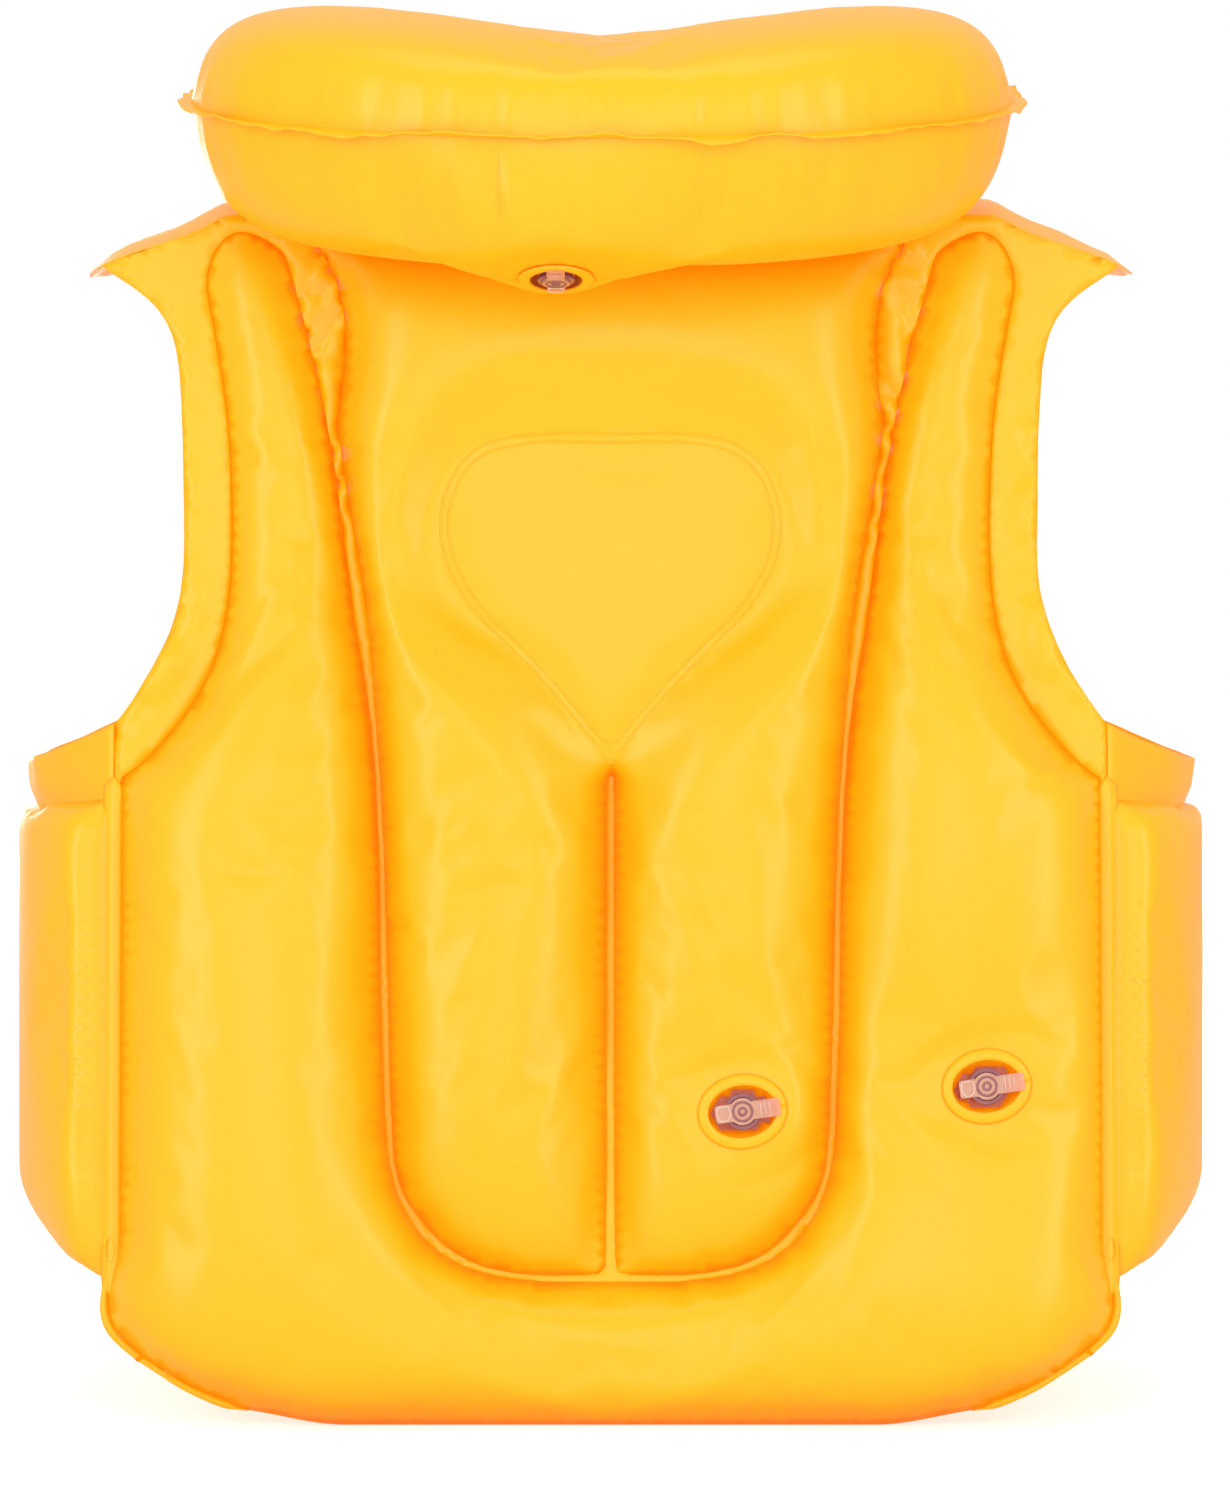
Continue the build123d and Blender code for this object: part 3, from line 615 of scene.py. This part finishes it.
def shoulder(side):
    """The flexible strap of film over a shoulder, from the back panel to the front."""
    sign = -1 if side == "left" else 1
    edge = np.array([(0.172, 0.406), (0.156, 0.4145), (0.139, 0.4235), (0.125, 0.4238), (0.112, 0.424)])
    t = np.linspace(0, 1, 22)
    xs = np.interp(t, np.linspace(0, 1, 5), edge[:, 0])
    hs = np.interp(t, np.linspace(0, 1, 5), edge[:, 1])
    xs, hs = xs + flare_at(xs, hs), hs + SHOULDER_LIFT * smoothstep(0.31, 0.42, hs)
    rows = []
    for s in np.linspace(-1, 1, 41):
        reach = HALF_DEPTH - hs * sl
        z0 = hs * cl
        y = MID_Y + s * reach
        z = z0 + 0.0075 * (1 - s ** 2) * (1 - 0.25 * (t < 0.05))
        flare = (1 - t) ** 2 * (1 - s ** 2)
        curl = (1 - t) ** 5 * (1 - s ** 2)
        p = np.stack((sign * (xs + 0.008 * flare), y, z - 0.002 * flare - 0.006 * curl), axis=1)
        p[:, 2] += 0.0006 * (1 - s ** 2) * fuzz(p, 0.018, 31 + sign)
        rows.append(p)
    return grid_object(f"{side}_shoulder_film", rows)


for side in ("left", "right"):
    sign = -1 if side == "left" else 1
    flange = underarm(side)
    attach(flange, "back")
    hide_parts(f"{side}_underarm_web")
    strap = shoulder(side)
    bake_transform(strap)
    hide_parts(f"{side}_shoulder_web")

# The strip that hangs the collar from the neckline.
rows = []
for t in np.linspace(0, 1, 9):
    u = np.linspace(-0.075, 0.075, 61)
    start = BACK.at(np.stack((u, np.full(61, 0.4225)), axis=1), np.zeros(61))
    end = COLLAR.at(np.stack((u + 0.003, 0.040 + 0 * u), axis=1), np.full(61, -0.030))
    p = start * (1 - t) + end * t
    p[:, 1] += 0.004 * math.sin(math.pi * t)
    p[:, 2] += 0.0008 * math.sin(math.pi * t) * fuzz(p, 0.012, 41)
    rows.append(p)
strip = grid_object("collar_strip_film", rows)
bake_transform(strip)
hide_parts("collar_web")


def flange(name, sheet, ring, width, keep=None, seed=50, ruffle=1.0):
    """A scalloped margin of film outside a weld; keep picks the part of the outline that has one."""
    ring = resample(ring, 0.0016)
    out = outward(ring)
    flat = sheet.at(ring, np.zeros(len(ring)))
    n1, n2 = fuzz(flat, 0.017, seed), fuzz(flat, 0.006, seed + 1)
    reach = width * (1 + ruffle * (0.22 * np.abs(n1) + 0.12 * n2))
    wave = ruffle * (0.0016 * n1 + 0.0006 * n2)
    rows = []
    for t in (-0.2, 0, 0.35, 0.7, 1.0):
        rows.append(sheet.at(ring + out * (reach * t)[:, None], wave * max(t, 0) ** 1.3))
    count = len(ring)
    used = np.ones(count, bool) if keep is None else keep(ring)
    points = np.vstack(rows)
    faces = []
    for r in range(len(rows) - 1):
        for i in range(count):
            j = (i + 1) % count
            if used[i] and used[j]:
                faces.append((r * count + i, r * count + j, (r + 1) * count + j, (r + 1) * count + i))
    obj = make_object(name, points, faces, np.zeros(len(points)))
    bm = bmesh.new()
    bm.from_mesh(obj.data)
    bmesh.ops.delete(bm, geom=[v for v in bm.verts if not v.link_faces], context="VERTS")
    bm.to_mesh(obj.data)
    bm.free()
    thick = obj.modifiers.new("two layers", "SOLIDIFY")
    thick.thickness = 0.0006
    thick.offset = 0
    return obj


seam = flange("collar_seam_film", COLLAR, collar_rings[0], 0.0042)
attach(seam, "collar")


def fold(name, sign, y_sign):
    """The vertical weld that a side chamber folds along."""
    rows = []
    for z in np.linspace(0.046, 0.231, 60):
        end = min(z - 0.046, 0.231 - z)
        half = 0.0034 * min(1.0, math.sqrt(max(end, 1e-5) / 0.004))
        y = MID_Y + y_sign * (HALF_DEPTH - z * math.tan(LEAN))
        t = np.linspace(-1, 1, 7)
        p = np.stack((sign * ((FOLD_X if y_sign < 0 else FRONT_FOLD_X) + half * t), y + y_sign * (0.0012 - 0.0006 * t ** 2) - y_sign * 0.0016 * np.maximum(t, 0), np.full(7, z)), axis=1)
        rows.append(p)
    return grid_object(name, rows, 0.0008)


folds = []
for side, sign in (("left", -1), ("right", 1)):
    weld = fold(f"{side}_back_fold_film", sign, -1)
    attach(weld, "back")
    hinged = fold(f"{side}_front_fold_film", sign, 1)
    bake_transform(hinged)
    folds += [weld, hinged]


turned = BACK.u * math.cos(TURN) + BACK.v * math.sin(TURN)
VALVES = (
    ("shield", "back", BACK.at(np.array([(0.047, 0.112)]), [SURFACE])[0], turned, BACK.n),
    ("outer", "back", BACK.at(np.array([(0.134, 0.121)]), [SURFACE])[0], turned, BACK.n),
    ("collar", "collar", COLLAR_VALVE[0], up_seam, down),
)


def weld_ring(name, centre, e1, n):
    """The ring of film that is welded to a valve's flange."""
    e2 = np.cross(n, e1)
    turns = np.linspace(0, 2 * math.pi, 73)[:, None]
    rows = []
    for a, b, d in ((0.0123, 0.0093, 0.0004), (0.0125, 0.0095, 0.0010), (0.0135, 0.0106, 0.0011), (0.0150, 0.0124, 0.0009), (0.0160, 0.0133, 0.0002)):
        rows.append(centre + a * np.cos(turns) * e1 + b * np.sin(turns) * e2 + d * n)
    return grid_object(name, rows, 0.0004)


for label, body, *place in VALVES:
    ring = weld_ring(f"{label}_valve_ring_film", *place)
    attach(ring, body)
    folds.append(ring)


# ---------------------------------------------------------------- raised detail on the valve caps
def cords(name, paths, radius, n):
    """Thin round cords along paths, all in planes with normal n; a path may be closed."""
    points, faces = [], []
    for path, closed in paths:
        path = np.array(path)
        along = np.roll(path, -1, axis=0) - np.roll(path, 1, axis=0)
        if not closed:
            along[0], along[-1] = path[1] - path[0], path[-1] - path[-2]
        along /= np.linalg.norm(along, axis=1, keepdims=True)
        across = np.cross(along, n)
        first, count = len(points), len(path)
        for angle in np.linspace(0, 2 * math.pi, 7)[:-1]:
            points += list(path + across * radius * math.cos(angle) + n * radius * math.sin(angle))
        for k in range(6):
            for i in range(count if closed else count - 1):
                j, m = (i + 1) % count, (k + 1) % 6
                faces.append((first + k * count + i, first + k * count + j, first + m * count + j, first + m * count + i))
        if not closed:
            faces.append(tuple(first + k * count for k in range(6)))
            faces.append(tuple(first + k * count + count - 1 for k in range(6))[::-1])
    return make_object(name, points, faces)


CAP_TOP = 0.0021
CAP_DETAIL = []
for label, _, centre, e1, n in VALVES:
    e2 = np.cross(n, e1)
    lift = centre + n * CAP_TOP

    def flat(x, y):
        return lift + e1 * x + e2 * y

    turns = np.linspace(0, 2 * math.pi, 33)[:-1]
    rings = [([flat(r * math.cos(a), r * math.sin(a)) for a in turns], True) for r in (0.0034, 0.0013)]
    ridges = [([flat(x, y) for y in np.linspace(-w, w, 5)], False) for x, w in ((0.0066, 0.0025), (0.0082, 0.0024), (0.0098, 0.0022))]
    frame_corners = rounded([(-0.0068, 0.0026), (-0.0091, 0.0026), (-0.0091, -0.0026), (-0.0045, -0.0026), (-0.0045, 0.0026), (-0.0068, 0.0026)], 2)[:-1]
    ridges.append(([flat(x, y) for x, y in frame_corners], True))
    rim = [([centre + n * 0.0006 + e1 * r * math.cos(a) + e2 * r * math.sin(a) for a in turns], True) for r in (0.0061, 0.0055)]
    for kind, paths, radius in (("rings", rings, 0.00045), ("ridges", ridges, 0.00028), ("rims", rim, 0.0006)):
        detail = cords(f"{label}_valve_{kind}", paths, radius, n)
        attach(detail, f"{label}_stem" if kind == "rims" else f"{label}_cap")
        CAP_DETAIL.append((detail, kind))


# A small oval mark at the foot of each fold weld on the back.
marks = []
for sign in (-1, 1):
    z = 0.0625
    place = np.array((sign * (FOLD_X + 0.0005), MID_Y - (HALF_DEPTH - z * math.tan(LEAN)) - 0.0014, z))
    marks.append(([place + BACK.u * 0.0017 * math.cos(a) + BACK.v * 0.0042 * math.sin(a) for a in np.linspace(0, 2 * math.pi, 25)[:-1]], True))
mark = cords("fold_weld_marks", marks, 0.0003, BACK.n)
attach(mark, "back")
folds.append(mark)


# ---------------------------------------------------------------- materials
def material(name):
    mat = bpy.data.materials.new(name)
    mat.use_nodes = True
    nodes, links = mat.node_tree.nodes, mat.node_tree.links
    return mat, nodes, links, nodes["Principled BSDF"]


def film_material(name, scatter, crease_shade_green):
    """Soft glossy film with painted shade and a painted glow; scatter is how much light spreads inside, for blown-up
    bags only, and the crease value is the green of the darker orange painted into creases as shade.
    """
    mat, nodes, links, bsdf = material(name)
    # Painted shade: ambient occlusion turns the base colour a darker orange in creases, at welds and between bags.
    ao = nodes.new("ShaderNodeAmbientOcclusion")
    ao.inputs["Distance"].default_value = 0.03
    ao.samples = 8
    ramp = nodes.new("ShaderNodeValToRGB")
    ramp.color_ramp.elements[0].position = 0.15
    ramp.color_ramp.elements[0].color = (1.0, crease_shade_green, 0.001, 1)
    ramp.color_ramp.elements[1].position = 0.9
    ramp.color_ramp.elements[1].color = (1.0, 0.525, 0.008, 1)
    links.new(ao.outputs["AO"], ramp.inputs["Fac"])
    coord = nodes.new("ShaderNodeTexCoord")
    cloud = nodes.new("ShaderNodeTexNoise")
    cloud.inputs["Scale"].default_value = 9
    cloud.inputs["Detail"].default_value = 3
    links.new(coord.outputs["Object"], cloud.inputs["Vector"])
    shade = nodes.new("ShaderNodeMapRange")
    shade.inputs["To Min"].default_value = 0.96
    shade.inputs["To Max"].default_value = 1.03
    links.new(cloud.outputs["Fac"], shade.inputs["Value"])
    tint = nodes.new("ShaderNodeMix")
    tint.data_type = "RGBA"
    tint.blend_type = "MULTIPLY"
    tint.inputs["Factor"].default_value = 1
    links.new(ramp.outputs["Color"], tint.inputs["A"])
    links.new(shade.outputs["Result"], tint.inputs["B"])
    links.new(tint.outputs["Result"], bsdf.inputs["Base Color"])
    bsdf.inputs["Roughness"].default_value = 0.34
    bsdf.inputs["Specular IOR Level"].default_value = 0.42
    bsdf.inputs["Subsurface Weight"].default_value = scatter
    bsdf.inputs["Subsurface Radius"].default_value = (1.0, 0.45, 0.05)
    bsdf.inputs["Subsurface Scale"].default_value = 0.010
    # Painted glow: a constant red-orange emission over the film stands in for light shining through it and keeps the
    # shaded creases orange.
    bsdf.inputs["Emission Color"].default_value = (1.0, 0.20, 0.0, 1)
    bsdf.inputs["Emission Strength"].default_value = 0.30
    grain = nodes.new("ShaderNodeTexNoise")
    grain.inputs["Scale"].default_value = 900
    grain.inputs["Detail"].default_value = 2
    links.new(coord.outputs["Object"], grain.inputs["Vector"])
    bump = nodes.new("ShaderNodeBump")
    bump.inputs["Strength"].default_value = 0.06
    bump.inputs["Distance"].default_value = 0.0006
    links.new(grain.outputs["Fac"], bump.inputs["Height"])
    links.new(bump.outputs["Normal"], bsdf.inputs["Normal"])
    return mat


def plastic_material(name, dark, light, clear):
    """Soft clear plastic whose colour clouds between two tints."""
    mat, nodes, links, bsdf = material(name)
    coord = nodes.new("ShaderNodeTexCoord")
    cloud = nodes.new("ShaderNodeTexNoise")
    cloud.inputs["Scale"].default_value = 260
    links.new(coord.outputs["Object"], cloud.inputs["Vector"])
    ramp = nodes.new("ShaderNodeValToRGB")
    ramp.color_ramp.elements[0].color = (*dark, 1)
    ramp.color_ramp.elements[1].color = (*light, 1)
    links.new(cloud.outputs["Fac"], ramp.inputs["Fac"])
    links.new(ramp.outputs["Color"], bsdf.inputs["Base Color"])
    bsdf.inputs["Roughness"].default_value = 0.18
    bsdf.inputs["Transmission Weight"].default_value = clear
    bsdf.inputs["IOR"].default_value = 1.45
    return mat


def webbing_material():
    mat, nodes, links, bsdf = material("woven webbing")
    coord = nodes.new("ShaderNodeTexCoord")
    wave = nodes.new("ShaderNodeTexWave")
    wave.inputs["Scale"].default_value = 320
    wave.inputs["Distortion"].default_value = 0.6
    wave.bands_direction = "DIAGONAL"
    links.new(coord.outputs["Object"], wave.inputs["Vector"])
    ramp = nodes.new("ShaderNodeValToRGB")
    ramp.color_ramp.elements[0].color = (0.012, 0.012, 0.014, 1)
    ramp.color_ramp.elements[1].color = (0.05, 0.05, 0.055, 1)
    links.new(wave.outputs["Color"], ramp.inputs["Fac"])
    links.new(ramp.outputs["Color"], bsdf.inputs["Base Color"])
    bsdf.inputs["Roughness"].default_value = 0.85
    bump = nodes.new("ShaderNodeBump")
    bump.inputs["Strength"].default_value = 0.6
    bump.inputs["Distance"].default_value = 0.0004
    links.new(wave.outputs["Fac"], bump.inputs["Height"])
    links.new(bump.outputs["Normal"], bsdf.inputs["Normal"])
    return mat


def moulded_material():
    mat, nodes, links, bsdf = material("moulded black plastic")
    coord = nodes.new("ShaderNodeTexCoord")
    grain = nodes.new("ShaderNodeTexNoise")
    grain.inputs["Scale"].default_value = 1400
    links.new(coord.outputs["Object"], grain.inputs["Vector"])
    ramp = nodes.new("ShaderNodeMapRange")
    ramp.inputs["To Min"].default_value = 0.38
    ramp.inputs["To Max"].default_value = 0.55
    links.new(grain.outputs["Fac"], ramp.inputs["Value"])
    links.new(ramp.outputs["Result"], bsdf.inputs["Roughness"])
    bsdf.inputs["Base Color"].default_value = (0.018, 0.018, 0.02, 1)
    bump = nodes.new("ShaderNodeBump")
    bump.inputs["Strength"].default_value = 0.15
    bump.inputs["Distance"].default_value = 0.0003
    links.new(grain.outputs["Fac"], bump.inputs["Height"])
    links.new(bump.outputs["Normal"], bsdf.inputs["Normal"])
    return mat


FILM, SHEET_FILM = film_material("inflated yellow film", 0.12, 0.38), film_material("flat yellow film", 0.0, 0.46)
CLEAR = plastic_material("clear peach plastic", (0.90, 0.36, 0.20), (1.0, 0.60, 0.42), 0.35)
AMBER = plastic_material("amber valve cup", (0.62, 0.13, 0.015), (0.90, 0.30, 0.07), 0.2)
MAUVE = plastic_material("mauve clear plastic", (0.33, 0.10, 0.12), (0.55, 0.24, 0.26), 0.2)
PALE = plastic_material("pale raised plastic", (1.0, 0.62, 0.48), (1.0, 0.78, 0.66), 0.1)
WEBBING, MOULDED = webbing_material(), moulded_material()


def paint(obj, mat):
    obj.data.materials.clear()
    obj.data.materials.append(mat)


for obj in (tube, shield, left_front, right_front, collar, left_side, right_side):
    paint(obj, FILM)
for obj in (strip, seam, *folds):
    paint(obj, SHEET_FILM)
for obj, *_ in WEBS + beads:
    paint(obj, SHEET_FILM)
for obj in bpy.data.objects:
    if obj.name.endswith(("underarm_film", "shoulder_film")):
        paint(obj, SHEET_FILM)
for name, node in NODES.items():
    if name.endswith("strap"):
        paint(node, WEBBING)
    elif name.endswith(("socket", "clip", "keeper")):
        paint(node, MOULDED)
    elif name.endswith("patch"):
        paint(node, SHEET_FILM)
    elif name.endswith("valve_base"):
        paint(node, AMBER)
    elif name.endswith(("valve_stem", "valve_flap")):
        paint(node, MAUVE)
    elif name.endswith("valve_cap"):
        paint(node, CLEAR)
    else:
        continue
    if not name.endswith("strap"):
        for poly in node.data.polygons:
            pass
        soft = node.modifiers.new("soft edges", "BEVEL")
        soft.width = 0.0004 if "valve_" in name else 0.0007
        soft.segments = 2
        soft.limit_method = "ANGLE"
        soft.angle_limit = math.radians(50)

for obj, kind in CAP_DETAIL:
    paint(obj, PALE if kind == "ridges" else MAUVE)

# ---------------------------------------------------------------- floor, light, camera
mesh = bpy.data.meshes.new("floor")
mesh.from_pydata([(-6, -6, 0), (6, -6, 0), (6, 6, 0), (-6, 6, 0)], [], [(0, 1, 2, 3)])
floor = bpy.data.objects.new("floor", mesh)
bpy.context.scene.collection.objects.link(floor)
mat, nodes, links, bsdf = material("white floor")
bsdf.inputs["Base Color"].default_value = (0.9, 0.9, 0.9, 1)
bsdf.inputs["Roughness"].default_value = 0.9
bsdf.inputs["Specular IOR Level"].default_value = 0.1
bsdf.inputs["Emission Color"].default_value = (1, 1, 1, 1)
seen = nodes.new("ShaderNodeLightPath")
glow = nodes.new("ShaderNodeMath")
glow.operation = "MULTIPLY"
glow.inputs[1].default_value = 0.62
links.new(seen.outputs["Is Camera Ray"], glow.inputs[0])
links.new(glow.outputs["Value"], bsdf.inputs["Emission Strength"])
paint(floor, mat)

world = bpy.data.worlds.new("studio")
bpy.context.scene.world = world
world.use_nodes = True
tree = world.node_tree
seen = tree.nodes.new("ShaderNodeLightPath")
level = tree.nodes.new("ShaderNodeMapRange")
level.inputs["To Min"].default_value = 0.45
level.inputs["To Max"].default_value = 1.0
reflected = tree.nodes.new("ShaderNodeMath")
reflected.operation = "MULTIPLY"
reflected.inputs[1].default_value = 0.38  # what the film mirrors of the white room
either = tree.nodes.new("ShaderNodeMath")
either.operation = "MAXIMUM"
tree.links.new(seen.outputs["Is Camera Ray"], either.inputs[0])
tree.links.new(seen.outputs["Is Glossy Ray"], reflected.inputs[0])
tree.links.new(reflected.outputs["Value"], either.inputs[1])
tree.links.new(either.outputs["Value"], level.inputs["Value"])
tree.links.new(level.outputs["Result"], tree.nodes["Background"].inputs["Strength"])
tree.nodes["Background"].inputs["Color"].default_value = (1, 1, 1, 1)


def lamp(name, place, target, size, power):
    data = bpy.data.lights.new(name, "AREA")
    data.shape = "RECTANGLE"
    data.size, data.size_y = size
    data.energy = power
    obj = bpy.data.objects.new(name, data)
    bpy.context.scene.collection.objects.link(obj)
    obj.location = place
    obj.rotation_euler = (Vector(target) - Vector(place)).to_track_quat("-Z", "Y").to_euler()


lamp("left softbox", (-1.2, -1.5, 0.6), (0, 0, 0.25), (0.35, 1.5), 10)
lamp("right softbox", (1.2, -1.5, 0.6), (0, 0, 0.25), (0.35, 1.5), 9)
lamp("front softbox", (0.0, -3.0, 0.9), (0, 0, 0.25), (1.4, 1.4), 13)
lamp("far softbox", (-0.5, 2.9, 0.42), (0, 0, 0.22), (1.8, 0.7), 22)
lamp("overhead", (0.0, -0.4, 1.9), (0, 0, 0.25), (1.4, 0.9), 6)

target = Vector((0.0016, 0.0, 0.2385))
elevation, reach = math.radians(3.0), 2.4
data = bpy.data.cameras.new("camera")
data.sensor_width = 36
data.lens = 36 * (reach - 0.10) / 0.5265
data.clip_start, data.clip_end = 0.05, 50
camera = bpy.data.objects.new("camera", data)
bpy.context.scene.collection.objects.link(camera)
camera.location = target + Vector((0, -math.cos(elevation), math.sin(elevation))) * reach
camera.rotation_euler = (target - camera.location).to_track_quat("-Z", "Y").to_euler()
bpy.context.scene.camera = camera
bpy.context.scene.view_settings.view_transform = "Standard"
bpy.context.scene.view_settings.look = "None"
